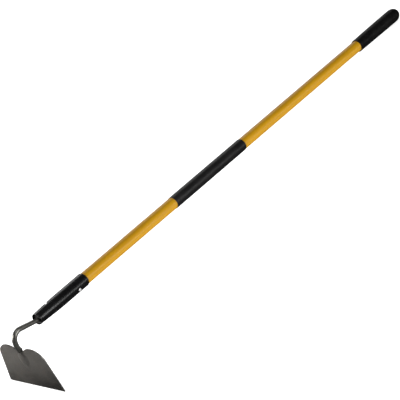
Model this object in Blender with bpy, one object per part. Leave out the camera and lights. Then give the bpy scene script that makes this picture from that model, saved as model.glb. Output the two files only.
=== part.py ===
# A gooseneck garden hoe: a heart-topped blade on a bent steel bar, a steel ferrule,
# and a fibreglass handle with two grips. It rests on its cutting edge and its butt.
#
# Every piece is modelled in the tool's own frame: the origin on the handle's axis at the
# ferrule's lower end, X along the handle to the butt, Y across the blade, and the blade
# hanging towards -Z. An empty named "tool" then tips the whole tool into its resting pose.

import math

import bmesh
import bpy
from mathutils import Matrix, Vector

# ---- driving dimensions, in metres and degrees ----
GAP = 0.0003  # left between pieces that touch
ROUND_SIDES = 48  # sides of a turned piece
BAR_SIDES = 28  # sides of the bent bar and its bores

HANDLE_D = 0.0282
HANDLE_WALL = 0.0030
HANDLE_START = 0.0680  # where the tube begins, inside the ferrule
HANDLE_LENGTH = 1.3568

FERRULE_D = 0.0316
FERRULE_NOSE_D = 0.0270
FERRULE_LENGTH = 0.1609
FERRULE_WALL = 0.0012
FERRULE_NOSE_R = 0.0009
FERRULE_RIM_R = 0.0011
SWAGE_END = 0.085  # the lower end is swaged down over this length
SWAGE_FULLNESS = 1.2  # higher keeps the nose slender for longer
CRIMP_X = 0.0437
CRIMP_DEPTH = 0.0009
CRIMP_BALL_R = 0.009  # radius of the punch that leaves the crimp
CRIMP_ANGLE = 55  # round the axis from +Y

BUSHING_START = 0.0012
CORE_LENGTH = 0.105

TANG_Z = -0.0026  # the tang lies a little below the handle's axis
TANG_END = 0.138
TANG_TIP_CHAMFER = 0.0012
BAR_D_TANG = 0.0104
BAR_D_BEND = 0.0116
RIVET_X = 0.1275
RIVET_D = 0.0048
RIVET_HEAD_D = 0.0074
RIVET_HEAD_H = 0.0018
RIVET_RIM_H = 0.0004

NECK_RISE = 12.95  # the bar climbs this far off the axis before it turns down
NECK_ROOT_R = 0.025  # bend between the tang and the climb
NECK_TOP = Vector((-0.0530, 0, 0.0099))  # where the main bend begins
NECK_BEND_R = 0.0192
NECK_LOWER_R = 0.0524
NECK_LOWER_TURN = 26.2
WELD_R = 0.0011  # radius of the bead round the neck's lower end

EDGE = Vector((-0.0528, 0, -0.1360))  # middle of the cutting edge
BLADE_LEAN = 9.19  # the blade closes in under the handle by this much from square
BLADE_W = 0.1588
BLADE_T = 0.0028
SIDE_TAPER = 9.45
CORNER_R = 0.0035
BEVEL_H = 0.0045
EDGE_T = 0.0006
LOBE_TOP = 0.1143  # height of the two lobes over the cutting edge
LOBE_R_OUTER = 0.0320
LOBE_R_INNER = 0.0365
BOSS_TOP = 0.1050  # the boss between the lobes, which the neck is welded to
BOSS_R = 0.0056
BOSS_RISE_FRONT = 0.0040
BOSS_RISE_BACK = 0.0038
BOSS_START = 0.0870  # the rib turns into the boss from here up
RIB_FOOT = 0.0450
RIB_FULL = 0.0860
RIB_RISE = 0.0056
RIB_HALF_W = 0.0145
RIB_FOOT_HALF_W = 0.0070

MID_GRIP_D = 0.0300
MID_GRIP_START = 0.4867
MID_GRIP_END = 0.7566
MID_GRIP_EDGE_R = 0.0005

END_GRIP_START = 1.2528
END_GRIP_D_FRONT = 0.0326
END_GRIP_D_BUTT = 0.0346
END_GRIP_LIP_R = 0.0010
DOME_START = 1.4170
DOME_LENGTH = 0.0225
PLUG_LENGTH = 0.024


def clear_scene():
    for obj in list(bpy.data.objects):
        bpy.data.objects.remove(obj, do_unlink=True)


def make_material(name, colour, roughness, metallic):
    material = bpy.data.materials.new(name)
    material.use_nodes = True
    shader = material.node_tree.nodes["Principled BSDF"]
    shader.inputs["Base Color"].default_value = (*colour, 1)
    shader.inputs["Roughness"].default_value = roughness
    shader.inputs["Metallic"].default_value = metallic
    return material


def new_object(name, bm, material=None, parent=None):
    """Turns a bmesh into an object, with its normals facing out and its round faces smooth."""
    bmesh.ops.recalc_face_normals(bm, faces=bm.faces)
    if bm.calc_volume(signed=True) < 0:
        bmesh.ops.reverse_faces(bm, faces=bm.faces)
    mesh = bpy.data.meshes.new(name)
    bm.to_mesh(mesh)
    bm.free()
    mesh.shade_smooth()
    mesh.set_sharp_from_angle(angle=math.radians(35))
    if material:
        mesh.materials.append(material)
    obj = bpy.data.objects.new(name, mesh)
    bpy.context.scene.collection.objects.link(obj)
    obj.parent = parent
    return obj


def lerp(a, b, t):
    return a + (b - a) * t


def smoothstep(low, high, value):
    t = min(max((value - low) / (high - low), 0), 1)
    return t * t * (3 - 2 * t)


def along(degrees):
    """A unit vector in the XZ plane, at this angle from +X towards +Z."""
    angle = math.radians(degrees)
    return Vector((math.cos(angle), 0, math.sin(angle)))


def rounded(corner, towards_a, towards_b, radius, steps=4):
    """Points of an arc that rounds the corner between two others, for a turned profile."""
    corner = Vector(corner)
    a = (Vector(towards_a) - corner).normalized()
    b = (Vector(towards_b) - corner).normalized()
    half = a.angle(b) / 2
    centre = corner + (a + b).normalized() * radius / math.sin(half)
    start = corner + a * radius / math.tan(half) - centre
    end = corner + b * radius / math.tan(half) - centre
    points = []
    for i in range(steps + 1):
        spoke = start.lerp(end, i / steps).normalized() * radius
        points.append(tuple(centre + spoke))
    return points


def turned(profile, closed=True, sides=ROUND_SIDES):
    """Spins (x, radius) points round the X axis. Edges that lie on the axis are left out."""
    bm = bmesh.new()
    verts = [bm.verts.new((x, 0, radius)) for x, radius in profile]
    pairs = list(zip(verts, verts[1:]))
    if closed:
        pairs.append((verts[-1], verts[0]))
    edges = [bm.edges.new(pair) for pair in pairs if pair[0].co.z > 0 or pair[1].co.z > 0]
    bmesh.ops.spin(
        bm, geom=verts + edges, cent=(0, 0, 0), axis=(1, 0, 0),
        angle=math.tau, steps=sides, use_merge=True,
    )
    bmesh.ops.remove_doubles(bm, verts=bm.verts, dist=1e-6)
    return bm


def cylinder(radius, start, end, sides):
    """A closed cylinder between two points."""
    start, end = Vector(start), Vector(end)
    turn = (end - start).to_track_quat("Z", "Y").to_matrix().to_4x4()
    bm = bmesh.new()
    bmesh.ops.create_cone(
        bm, cap_ends=True, segments=sides, radius1=radius, radius2=radius,
        depth=(end - start).length, matrix=Matrix.Translation((start + end) / 2) @ turn,
    )
    return bm


def make_cutter(name, bm, parent):
    cutter = new_object(name, bm, parent=parent)
    cutter.hide_render = True
    cutter.display_type = "WIRE"
    return cutter


def cut(obj, *cutters):
    for cutter in cutters:
        modifier = obj.modifiers.new("cut " + cutter.name, "BOOLEAN")
        modifier.operation = "DIFFERENCE"
        modifier.solver = "EXACT"
        modifier.object = cutter


# ---- blade ----
def rib_shape(height):
    """Half width, front rise, back rise and roundness of the middle rib at one height."""
    rib = smoothstep(RIB_FOOT, RIB_FULL, height)
    boss = smoothstep(BOSS_START, BOSS_TOP - 0.004, height)
    half_width = lerp(lerp(RIB_FOOT_HALF_W, RIB_HALF_W, rib), BOSS_R, boss)
    front = lerp(RIB_RISE * rib, BOSS_RISE_FRONT, boss)
    back = BOSS_RISE_BACK * boss
    roundness = lerp(1.8, 0.5, boss)
    return half_width, front, back, roundness


def skin_point(y, height, front):
    """A point of the blade's front or back skin, in the blade's own frame."""
    half_width, front_rise, back_rise, roundness = rib_shape(height)
    hump = max(0, 1 - (y / half_width) ** 2) ** roundness
    if not front:
        return Vector((back_rise * hump, y, height))
    thickness = lerp(EDGE_T, BLADE_T, min(height / BEVEL_H, 1))
    return Vector((-thickness - front_rise * hump, y, height))


def top_edge():
    """Points of the blade's top edge, from the middle over one lobe to its outer side."""
    side = math.radians(SIDE_TAPER)
    side_y = BLADE_W / 2 - math.tan(side) * (LOBE_TOP - LOBE_R_OUTER)
    crest_y = side_y - LOBE_R_OUTER / math.cos(side)
    points = []
    for i in range(7):
        points.append((BOSS_R * math.sin(math.radians(15 * i)), BOSS_TOP))
    reach = math.asin((crest_y - BOSS_R - 0.0005) / LOBE_R_INNER)
    for i in range(12):
        turn = reach * (1 - i / 12)
        height = LOBE_TOP - LOBE_R_INNER * (1 - math.cos(turn))
        points.append((crest_y - LOBE_R_INNER * math.sin(turn), height))
    for i in range(13):
        turn = (math.pi / 2 - side) * i / 12
        height = LOBE_TOP - LOBE_R_OUTER * (1 - math.cos(turn))
        points.append((crest_y + LOBE_R_OUTER * math.sin(turn), height))
    return points


def bottom_edge(count):
    """The same number of points along the cutting edge and round its corner."""
    side = math.radians(SIDE_TAPER)
    up_the_side = (BLADE_W / 2 - math.sin(side), math.cos(side))
    corner = rounded((BLADE_W / 2, 0), (0, 0), up_the_side, CORNER_R)
    straight = count - len(corner)
    return [(corner[0][0] * i / straight, 0) for i in range(straight)] + corner


def make_blade(tool, material):
    top = top_edge()
    bottom = bottom_edge(len(top))
    top = [(-y, height) for y, height in top[:0:-1]] + top
    bottom = [(-y, height) for y, height in bottom[:0:-1]] + bottom
    rows = 30
    boss_slope = math.tan(math.radians(NECK_LOWER_TURN - BLADE_LEAN))
    bm = bmesh.new()
    skins = []
    for front in (True, False):
        columns = []
        for (low_y, low), (high_y, high) in zip(bottom, top):
            bevel = (BEVEL_H - low) / (high - low)
            column = []
            for row in range(rows + 1):
                reach = max(row - 1, 0) / (rows - 1)
                eased = lerp(reach, math.sin(reach * math.pi / 2), 0.55)
                t = lerp(bevel, 1, eased) if row else 0
                point = skin_point(lerp(low_y, high_y, t), lerp(low, high, t), front)
                if row == rows and abs(high_y) <= BOSS_R:
                    point.z += boss_slope * (point.x + BLADE_T / 2)
                column.append(bm.verts.new(point))
            columns.append(column)
        skins.append(columns)
        for left, right in zip(columns, columns[1:]):
            for row in range(rows):
                bm.faces.new((left[row], right[row], right[row + 1], left[row + 1]))
    rims = []
    for columns in skins:
        rim = [column[0] for column in columns] + columns[-1][1:]
        rim += [column[-1] for column in columns[-2::-1]] + columns[0][-2:0:-1]
        rims.append(rim)
    front_rim, back_rim = rims
    for i in range(len(front_rim)):
        bm.faces.new((front_rim[i - 1], front_rim[i], back_rim[i], back_rim[i - 1]))
    blade = new_object("blade", bm, material, tool)
    blade.location = EDGE
    blade.rotation_euler = (0, math.radians(-BLADE_LEAN), 0)
    return blade


# ---- gooseneck ----
def bend(start, heading, radius, turn, steps):
    """(point, heading) along an arc that turns towards the blade, without its first point."""
    centre = start + along(heading + 90) * radius
    points = []
    for i in range(1, steps + 1):
        angle = heading + turn * i / steps
        points.append((centre + along(angle - 90) * radius, angle))
    return points


def neck_path():
    """(point, heading in degrees) along the bar, from the tang's end down to the blade."""
    rise = math.radians(NECK_RISE)
    climb = NECK_TOP.z - TANG_Z - NECK_ROOT_R * (1 - math.cos(rise))
    root = Vector((NECK_TOP.x + climb / math.tan(rise) + NECK_ROOT_R * math.sin(rise), 0, TANG_Z))
    tang_end = Vector((TANG_END, 0, TANG_Z))
    path = [(tang_end, 180)]
    for i in range(9):
        path.append((lerp(tang_end - Vector((TANG_TIP_CHAMFER, 0, 0)), root, i / 8), 180))
    path += [
        (root + along(270 - angle) * NECK_ROOT_R + Vector((0, 0, NECK_ROOT_R)), 180 - angle)
        for angle in (NECK_RISE * i / 4 for i in range(1, 5))
    ]
    foot = path[-1][0]
    for i in range(1, 5):
        path.append((foot.lerp(NECK_TOP, i / 4), 180 - NECK_RISE))
    path += bend(NECK_TOP, 180 - NECK_RISE, NECK_BEND_R, 90 + NECK_RISE, 16)
    path += bend(path[-1][0], 270, NECK_LOWER_R, NECK_LOWER_TURN, 7)
    return path


def make_neck(tool, material, rivet_hole):
    """A bar swept along the path, slightly thicker from the bend on."""
    path = neck_path()
    bm = bmesh.new()
    rings = []
    for index, (point, heading) in enumerate(path):
        outward = along(heading - 90)
        swell = smoothstep(0.005, 0.065, -point.x)
        radius = lerp(BAR_D_TANG, BAR_D_BEND, swell) / 2
        if index == 0:
            radius -= TANG_TIP_CHAMFER
        ring = []
        for i in range(BAR_SIDES):
            angle = math.tau * i / BAR_SIDES
            spoke = outward * math.cos(angle) + Vector((0, 1, 0)) * math.sin(angle)
            ring.append(bm.verts.new(point + spoke * radius))
        rings.append(ring)
    for ring, following in zip(rings, rings[1:]):
        for i in range(BAR_SIDES):
            bm.faces.new((ring[i - 1], ring[i], following[i], following[i - 1]))
    bm.faces.new(rings[0])
    bm.faces.new(rings[-1])
    neck = new_object("goose_neck", bm, material, tool)
    cut(neck, rivet_hole)
    return neck


def make_weld(tool, material):
    """A bead round the joint between the bar's lower end and the top of the blade."""
    end, heading = neck_path()[-1]
    inner = BAR_D_BEND / 2 + GAP + 0.0002
    profile = [(-0.0014, inner), (0.0022, inner)]
    for i in range(7):
        angle = math.pi * i / 6
        x = 0.0004 + 0.0018 * math.cos(angle)
        profile.append((x, inner + 0.0002 + WELD_R * math.sin(angle)))
    weld = new_object("neck_weld", turned(profile, sides=32), material, tool)
    weld.location = end
    weld.rotation_euler = (0, -math.radians(heading + 180), 0)
    return weld


# ---- ferrule and what it holds ----
def ferrule_radius(x):
    """The ferrule's outer radius: swaged at its lower end, straight from there on."""
    ease = math.sin(min(x / SWAGE_END, 1) * math.pi / 2) ** SWAGE_FULLNESS
    return lerp(FERRULE_NOSE_D, FERRULE_D, ease) / 2


def make_ferrule(tool, material, rivet_hole, crimps):
    nose, rim = (0, ferrule_radius(0)), (FERRULE_LENGTH, FERRULE_D / 2)
    steps = [SWAGE_END * i / 10 for i in range(1, 11)]
    profile = rounded(nose, (0, 0), (SWAGE_END, nose[1]), FERRULE_NOSE_R)
    profile += [(x, ferrule_radius(x)) for x in steps]
    profile += rounded(rim, (0, rim[1]), (rim[0], 0), FERRULE_RIM_R)
    profile += [(FERRULE_LENGTH, rim[1] - FERRULE_WALL)]
    profile += [(x, ferrule_radius(x) - FERRULE_WALL) for x in reversed(steps)]
    profile += [(0, nose[1] - FERRULE_WALL)]
    ferrule = new_object("ferrule", turned(profile), material, tool)
    cut(ferrule, rivet_hole, *crimps)
    return ferrule


def make_crimp_cutter(tool, name, angle):
    reach = ferrule_radius(CRIMP_X) + CRIMP_BALL_R - CRIMP_DEPTH
    turn = math.radians(angle)
    centre = Matrix.Translation((CRIMP_X, reach * math.cos(turn), reach * math.sin(turn)))
    bm = bmesh.new()
    bmesh.ops.create_uvsphere(bm, u_segments=32, v_segments=24, radius=CRIMP_BALL_R, matrix=centre)
    return make_cutter(name, bm, tool)


def make_bushing(tool, material, tang_bore):
    """Fills the ferrule round the tang, up to where the handle begins."""
    start, end = BUSHING_START, HANDLE_START - GAP
    steps = [lerp(start, end, i / 9) for i in range(10)]
    outside = [(x, ferrule_radius(x) - FERRULE_WALL - GAP) for x in steps]
    bushing = turned([(start, 0), *outside, (end, 0)], closed=False)
    bushing = new_object("tang_bushing", bushing, material, tool)
    cut(bushing, tang_bore)
    return bushing


def make_core(tool, material, tang_bore, rivet_hole):
    """A dowel in the handle's lower end, bored for the tang and drilled for the rivet."""
    radius = HANDLE_D / 2 - HANDLE_WALL - GAP
    start, end = HANDLE_START, HANDLE_START + CORE_LENGTH
    profile = [(start, 0), (start, radius)]
    profile += rounded((end, radius), (start, radius), (end, 0), 0.002)
    profile += [(end, 0)]
    core = new_object("handle_core", turned(profile, closed=False), material, tool)
    cut(core, tang_bore, rivet_hole)
    return core


def make_rivet(tool, material):
    """A cross rivet: its shank lies along Y, with a domed head on each side."""
    seat = FERRULE_D / 2 + GAP
    shank, head = RIVET_D / 2, RIVET_HEAD_D / 2
    rim = seat + RIVET_RIM_H
    right = [(seat, shank), (seat, head), (rim, head)]
    for i in range(1, 6):
        angle = math.pi / 2 * i / 6
        height = (RIVET_HEAD_H - RIVET_RIM_H) * math.sin(angle)
        right.append((rim + height, head * math.cos(angle)))
    right.append((seat + RIVET_HEAD_H, 0))
    left = [(-x, radius) for x, radius in reversed(right)]
    bm = turned(left + right, closed=False, sides=32)
    rivet = new_object("ferrule_rivet", bm, material, tool)
    rivet.location = (RIVET_X, 0, TANG_Z)
    rivet.rotation_euler = (0, 0, math.pi / 2)
    return rivet


# ---- handle and grips ----
def make_handle(tool, material, rivet_hole):
    outer, inner = HANDLE_D / 2, HANDLE_D / 2 - HANDLE_WALL
    start, end = HANDLE_START, HANDLE_START + HANDLE_LENGTH
    profile = [(start, inner), (start, outer), (end, outer), (end, inner)]
    handle = new_object("handle_tube", turned(profile), material, tool)
    cut(handle, rivet_hole)
    return handle


def make_mid_grip(tool, material):
    inner, outer = HANDLE_D / 2 + GAP, MID_GRIP_D / 2
    start, end = MID_GRIP_START, MID_GRIP_END
    profile = [(start, inner)]
    profile += rounded((start, outer), (start, 0), (end, outer), MID_GRIP_EDGE_R)
    profile += rounded((end, outer), (start, outer), (end, 0), MID_GRIP_EDGE_R)
    profile += [(end, inner)]
    return new_object("mid_grip", turned(profile), material, tool)


def make_end_grip(tool, material):
    """A closed sleeve that swells a little towards its domed butt."""
    bore = HANDLE_D / 2 + GAP
    front, butt = END_GRIP_D_FRONT / 2, END_GRIP_D_BUTT / 2
    start = END_GRIP_START
    profile = [(start, bore)]
    profile += rounded((start, front), (start, 0), (DOME_START, front), END_GRIP_LIP_R)
    for i in range(1, 7):
        swell = math.sin(math.pi / 2 * i / 6)
        profile.append((lerp(start, DOME_START, i / 6), lerp(front, butt, swell)))
    for i in range(1, 10):
        angle = math.pi / 2 * i / 10
        x = DOME_START + DOME_LENGTH * math.sin(angle)
        profile.append((x, butt * math.cos(angle)))
    profile.append((DOME_START + DOME_LENGTH, 0))
    bore_end = HANDLE_START + HANDLE_LENGTH + 2 * GAP
    profile += [(bore_end, 0), (bore_end, bore)]
    return new_object("end_grip", turned(profile), material, tool)


def make_butt_plug(tool, material):
    """Closes the tube's upper end: a stem inside it."""
    radius = HANDLE_D / 2 - HANDLE_WALL - GAP
    end = HANDLE_START + HANDLE_LENGTH
    start = end - PLUG_LENGTH
    profile = [(start, 0)]
    profile += rounded((start, radius), (start, 0), (end, radius), 0.0015)
    profile += [(end, radius), (end, 0)]
    return new_object("butt_plug", turned(profile, closed=False), material, tool)


# ---- assembly ----
def tip_to_rest(tool):
    """Turns the tool until its cutting edge and its butt are level, then centres it there."""
    drop = -EDGE.z - END_GRIP_D_BUTT / 2
    tool.rotation_euler = (0, math.atan2(drop, DOME_START - EDGE.x), 0)
    bpy.context.view_layer.update()
    graph = bpy.context.evaluated_depsgraph_get()
    low, high = Vector((9, 9, 9)), Vector((-9, -9, -9))
    for obj in tool.children:
        if obj.hide_render:
            continue
        evaluated = obj.evaluated_get(graph)
        mesh = evaluated.to_mesh()
        for vertex in mesh.vertices:
            point = evaluated.matrix_world @ vertex.co
            low = Vector(map(min, low, point))
            high = Vector(map(max, high, point))
        evaluated.to_mesh_clear()
    tool.location = (-(low.x + high.x) / 2, -(low.y + high.y) / 2, -low.z)


def main():
    clear_scene()
    tool = bpy.data.objects.new("tool", None)
    bpy.context.scene.collection.objects.link(tool)

    forged = make_material("forged_steel", (0.105, 0.092, 0.075), 0.55, 0.85)
    weld = make_material("weld_steel", (0.045, 0.040, 0.035), 0.6, 0.8)
    lacquer = make_material("black_lacquer", (0.008, 0.008, 0.009), 0.18, 0.0)
    plastic = make_material("dark_plastic", (0.02, 0.02, 0.02), 0.5, 0.0)
    zinc = make_material("rivet_steel", (0.75, 0.75, 0.76), 0.25, 1.0)
    fibreglass = make_material("yellow_fibreglass", (0.65, 0.31, 0.015), 0.3, 0.0)
    rubber = make_material("black_rubber", (0.015, 0.015, 0.015), 0.6, 0.0)
    wood = make_material("dowel_wood", (0.45, 0.28, 0.14), 0.7, 0.0)

    rivet = Vector((RIVET_X, 0, TANG_Z))
    across = Vector((0, FERRULE_D, 0))
    rivet_bore = cylinder(RIVET_D / 2 + GAP, rivet - across, rivet + across, 24)
    rivet_hole = make_cutter("rivet_hole", rivet_bore, tool)

    bore_start, bore_end = (-0.02, 0, TANG_Z), (TANG_END + 0.002, 0, TANG_Z)
    bore = cylinder(BAR_D_TANG / 2 + GAP, bore_start, bore_end, BAR_SIDES)
    tang_bore = make_cutter("tang_bore", bore, tool)

    crimp_upper = make_crimp_cutter(tool, "crimp_upper", CRIMP_ANGLE)
    crimp_lower = make_crimp_cutter(tool, "crimp_lower", CRIMP_ANGLE + 180)

    make_blade(tool, forged)
    make_neck(tool, forged, rivet_hole)
    make_weld(tool, weld)
    make_ferrule(tool, lacquer, rivet_hole, (crimp_upper, crimp_lower))
    make_bushing(tool, plastic, tang_bore)
    make_core(tool, wood, tang_bore, rivet_hole)
    make_rivet(tool, zinc)
    make_handle(tool, fibreglass, rivet_hole)
    make_mid_grip(tool, rubber)
    make_end_grip(tool, rubber)
    make_butt_plug(tool, plastic)
    tip_to_rest(tool)


main()
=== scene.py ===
import math

import bmesh
import bpy
from mathutils import Matrix, Vector, noise


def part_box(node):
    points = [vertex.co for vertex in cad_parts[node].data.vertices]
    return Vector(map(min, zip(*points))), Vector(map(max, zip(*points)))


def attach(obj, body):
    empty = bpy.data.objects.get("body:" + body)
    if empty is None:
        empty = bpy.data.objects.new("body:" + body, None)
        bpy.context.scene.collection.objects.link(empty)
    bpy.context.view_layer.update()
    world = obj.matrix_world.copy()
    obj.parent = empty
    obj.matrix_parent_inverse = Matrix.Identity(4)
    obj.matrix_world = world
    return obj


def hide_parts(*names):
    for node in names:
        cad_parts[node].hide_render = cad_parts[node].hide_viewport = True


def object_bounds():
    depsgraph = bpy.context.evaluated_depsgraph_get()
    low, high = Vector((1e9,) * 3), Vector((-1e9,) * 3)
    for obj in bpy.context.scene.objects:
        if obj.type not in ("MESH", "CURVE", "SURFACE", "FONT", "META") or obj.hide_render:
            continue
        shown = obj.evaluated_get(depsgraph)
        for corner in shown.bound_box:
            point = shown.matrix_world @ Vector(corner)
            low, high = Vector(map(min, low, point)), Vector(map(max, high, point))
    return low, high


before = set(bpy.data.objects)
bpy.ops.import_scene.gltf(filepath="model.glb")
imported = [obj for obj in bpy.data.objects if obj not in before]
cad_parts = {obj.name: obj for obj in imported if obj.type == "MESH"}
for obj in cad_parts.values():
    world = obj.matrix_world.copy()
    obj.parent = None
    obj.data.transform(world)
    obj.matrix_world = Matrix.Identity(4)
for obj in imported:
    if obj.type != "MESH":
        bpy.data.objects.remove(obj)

cadLow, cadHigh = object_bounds()
scene = bpy.context.scene
print("frame loaded:", len(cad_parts), "parts")

camera = {
    "place": (-3.20927, -3.25117, 2.68863),
    "turn": (57.98818, 16.81352, -53.90406),  # degrees
    "lens": 204.833,
    "sensor": 36,
    "near": 0.05,
    "far": 60,
}


def setCamera(values):
    data = bpy.data.cameras.new("studioCamera")
    data.lens = values["lens"]
    data.sensor_width = values["sensor"]
    data.clip_start, data.clip_end = values["near"], values["far"]
    obj = bpy.data.objects.new("studioCamera", data)
    obj.location = values["place"]
    obj.rotation_euler = [math.radians(angle) for angle in values["turn"]]
    scene.collection.objects.link(obj)
    scene.camera = obj


setCamera(camera)
print("camera set")


def socketNamed(sockets, key):  # by place, by identifier, or by the name shown
    if isinstance(key, int):
        return sockets[key]
    exact = [s for s in sockets if s.identifier == key]
    return exact[0] if exact else [s for s in sockets if s.name == key and s.enabled][0]


class Wire:  # one output of a node, so that sums on it can be written as sums
    def __init__(self, net, socket):
        self.net, self.socket = net, socket

    def outlets(self):  # every output of the same node
        return [Wire(self.net, out) for out in self.socket.node.outputs]

    def maths(self, operation, first, second=0.0):
        return self.net.add("ShaderNodeMath", {"operation": operation}, {0: first, 1: second})

    def __add__(self, other):
        return self.maths("ADD", self, other)

    def __sub__(self, other):
        return self.maths("SUBTRACT", self, other)

    def __rsub__(self, other):
        return self.maths("SUBTRACT", other, self)

    def __mul__(self, other):
        return self.maths("MULTIPLY", self, other)

    def __truediv__(self, other):
        return self.maths("DIVIDE", self, other)

    def __rtruediv__(self, other):
        return self.maths("DIVIDE", other, self)

    def __pow__(self, other):
        return self.maths("POWER", self, other)

    def __abs__(self):
        return self.maths("ABSOLUTE", self)

    __radd__, __rmul__ = __add__, __mul__

    def most(self, other):
        return self.maths("MAXIMUM", self, other)

    def least(self, other):
        return self.maths("MINIMUM", self, other)

    def step(self, low, high):  # 0 at low, 1 at high, smooth between
        settings = {"interpolation_type": "SMOOTHSTEP"}
        values = {"Value": self, "From Min": low, "From Max": high, "To Min": 0.0, "To Max": 1.0}
        if low > high:
            values.update({"From Min": high, "From Max": low, "To Min": 1.0, "To Max": 0.0})
        return self.net.add("ShaderNodeMapRange", settings, values)


class Net:  # a node tree that grows one node at a time
    def __init__(self, tree):
        self.tree = tree

    def add(self, kind, settings=None, values=None, output=0):
        node = self.tree.nodes.new(kind)
        for name, value in (settings or {}).items():
            setattr(node, name, value)
        for key, value in (values or {}).items():
            socket = socketNamed(node.inputs, key)
            if isinstance(value, (Wire, list)):  # a list is for a socket that takes several links
                for link in value if isinstance(value, list) else [value]:
                    self.tree.links.new(link.socket, socket)
            else:
                socket.default_value = value
        outputs = node.outputs
        return Wire(self, socketNamed(outputs, output)) if len(outputs) else node

    def blend(self, factor, first, second):
        values = {"Factor_Float": factor, "A_Color": first, "B_Color": second}
        for key in ("A_Color", "B_Color"):
            if isinstance(values[key], tuple) and len(values[key]) == 3:
                values[key] = (*values[key], 1)
        return self.add("ShaderNodeMix", {"data_type": "RGBA"}, values, "Result_Color")

    def grain(self, place, scale, detail=3.0, roughness=0.5, stretch=(1, 1, 1), distortion=0.0):
        if stretch != (1, 1, 1):
            place = self.add("ShaderNodeMapping", {}, {"Vector": place, "Scale": stretch})
        values = {
            "Vector": place, "Scale": scale, "Detail": detail,
            "Roughness": roughness, "Distortion": distortion,
        }
        return self.add("ShaderNodeTexNoise", {}, values, "Fac")

    def axes(self, place):
        return self.add("ShaderNodeSeparateXYZ", {}, {0: place}).outlets()


def finish(name, constants, origin=None):  # a new material, with coordinates laid along the piece
    material = bpy.data.materials.new(name)
    material.use_nodes = True
    material.node_tree.nodes.clear()
    net = Net(material.node_tree)
    shader = net.add("ShaderNodeBsdfPrincipled", {}, constants)
    net.add("ShaderNodeOutputMaterial", {}, {"Surface": shader})
    place = net.add("ShaderNodeTexCoord", {}, {}, "Object")
    matrix = origin or toolFrame
    values = {
        "Vector": place,
        "Location": matrix.to_translation(),
        "Rotation": matrix.to_euler(),
    }
    place = net.add("ShaderNodeMapping", {"vector_type": "TEXTURE"}, values)
    return material, net, shader, place


def feed(net, shader, **links):  # what changes over the surface
    names = {
        "colour": "Base Color", "roughness": "Roughness", "metallic": "Metallic",
        "coat": "Coat Weight", "normal": "Normal",
    }
    for key, value in links.items():
        net.tree.links.new(value.socket, shader.socket.node.inputs[names[key]])


def bump(net, height, distance, strength=1.0):
    values = {"Height": height, "Distance": distance, "Strength": strength}
    return net.add("ShaderNodeBump", {}, values)


def middle(node):
    low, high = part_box(node)
    return (low + high) / 2


def toolFrameFrom(gripCentre):  # X up the handle, read off two straight pieces that share its axis
    first, second = middle("mid_grip"), middle("handle_tube")
    axis = (second - first).normalized()
    tilt = math.atan2(-axis.z, axis.x)
    start = first - axis * gripCentre
    return Matrix.Translation(start) @ Matrix.Rotation(tilt, 4, "Y")


fitGap = 0.0003  # left between pieces that touch
tube = {
    "diameter": 0.0282, "wall": 0.0030, "start": 0.0680, "length": 1.3568, "sides": 96,
    "fineFrom": 0.1, "fineStep": 0.0015, "fineRows": 40,  # closer rows round the rivet's hole
    "coarseFrom": 0.17, "coarseStep": 0.02, "coarseRows": 62,
}
sleeve = {
    "start": 0.4867, "end": 0.7566, "diameter": 0.0300, "edge": 0.0005,
    "unevenness": 0.00006, "unevenScale": 60, "rows": 120, "sides": 96,
}
toolFrame = toolFrameFrom((sleeve["start"] + sleeve["end"]) / 2)
print("tool frame found, tilt", round(math.degrees(toolFrame.to_euler().y), 3))
edgeAngle = math.radians(38)  # corners that turn by more than this stay crisp


def lerp(a, b, t):
    return a + (b - a) * t


def smoothstep(low, high, value):
    t = min(max((value - low) / (high - low), 0), 1)
    return t * t * (3 - 2 * t)


def along(degrees):  # a unit vector in the XZ plane
    angle = math.radians(degrees)
    return Vector((math.cos(angle), 0, math.sin(angle)))


def rounded(corner, towardsA, towardsB, radius, steps=6):  # the arc that replaces a sharp corner
    corner = Vector(corner)
    a = (Vector(towardsA) - corner).normalized()
    b = (Vector(towardsB) - corner).normalized()
    half = a.angle(b) / 2
    centre = corner + (a + b).normalized() * radius / math.sin(half)
    start = corner + a * radius / math.tan(half) - centre
    end = corner + b * radius / math.tan(half) - centre
    arc = (start.lerp(end, i / steps).normalized() * radius for i in range(steps + 1))
    return [tuple(centre + spoke) for spoke in arc]


def turned(profile, sides, closed=True):  # a profile of (x, radius) spun round the X axis
    bm = bmesh.new()
    verts = [bm.verts.new((x, 0, radius)) for x, radius in profile]
    pairs = list(zip(verts, verts[1:]))
    if closed:
        pairs.append((verts[-1], verts[0]))
    edges = [bm.edges.new(pair) for pair in pairs if max(pair[0].co.z, pair[1].co.z) > 0]
    bmesh.ops.spin(
        bm, geom=verts + edges, cent=(0, 0, 0), axis=(1, 0, 0),
        angle=math.tau, steps=sides, use_merge=True,
    )
    bmesh.ops.remove_doubles(bm, verts=bm.verts, dist=1e-6)
    return bm


def addPiece(name, bm, matrix):
    bmesh.ops.recalc_face_normals(bm, faces=bm.faces)
    if bm.calc_volume(signed=True) < 0:
        bmesh.ops.reverse_faces(bm, faces=bm.faces)
    bm.transform(matrix)
    mesh = bpy.data.meshes.new(name)
    bm.to_mesh(mesh)
    bm.free()
    mesh.shade_smooth()
    mesh.set_sharp_from_angle(angle=edgeAngle)
    obj = bpy.data.objects.new(name, mesh)
    scene.collection.objects.link(obj)
    return obj


def settle(obj):  # turns what the modifiers give into the piece's own mesh
    graph = bpy.context.evaluated_depsgraph_get()
    mesh = bpy.data.meshes.new_from_object(obj.evaluated_get(graph), depsgraph=graph)
    mesh.name = obj.name
    obj.modifiers.clear()
    obj.data = mesh
    mesh.shade_smooth()
    mesh.set_sharp_from_angle(angle=edgeAngle)
    return obj


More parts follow.
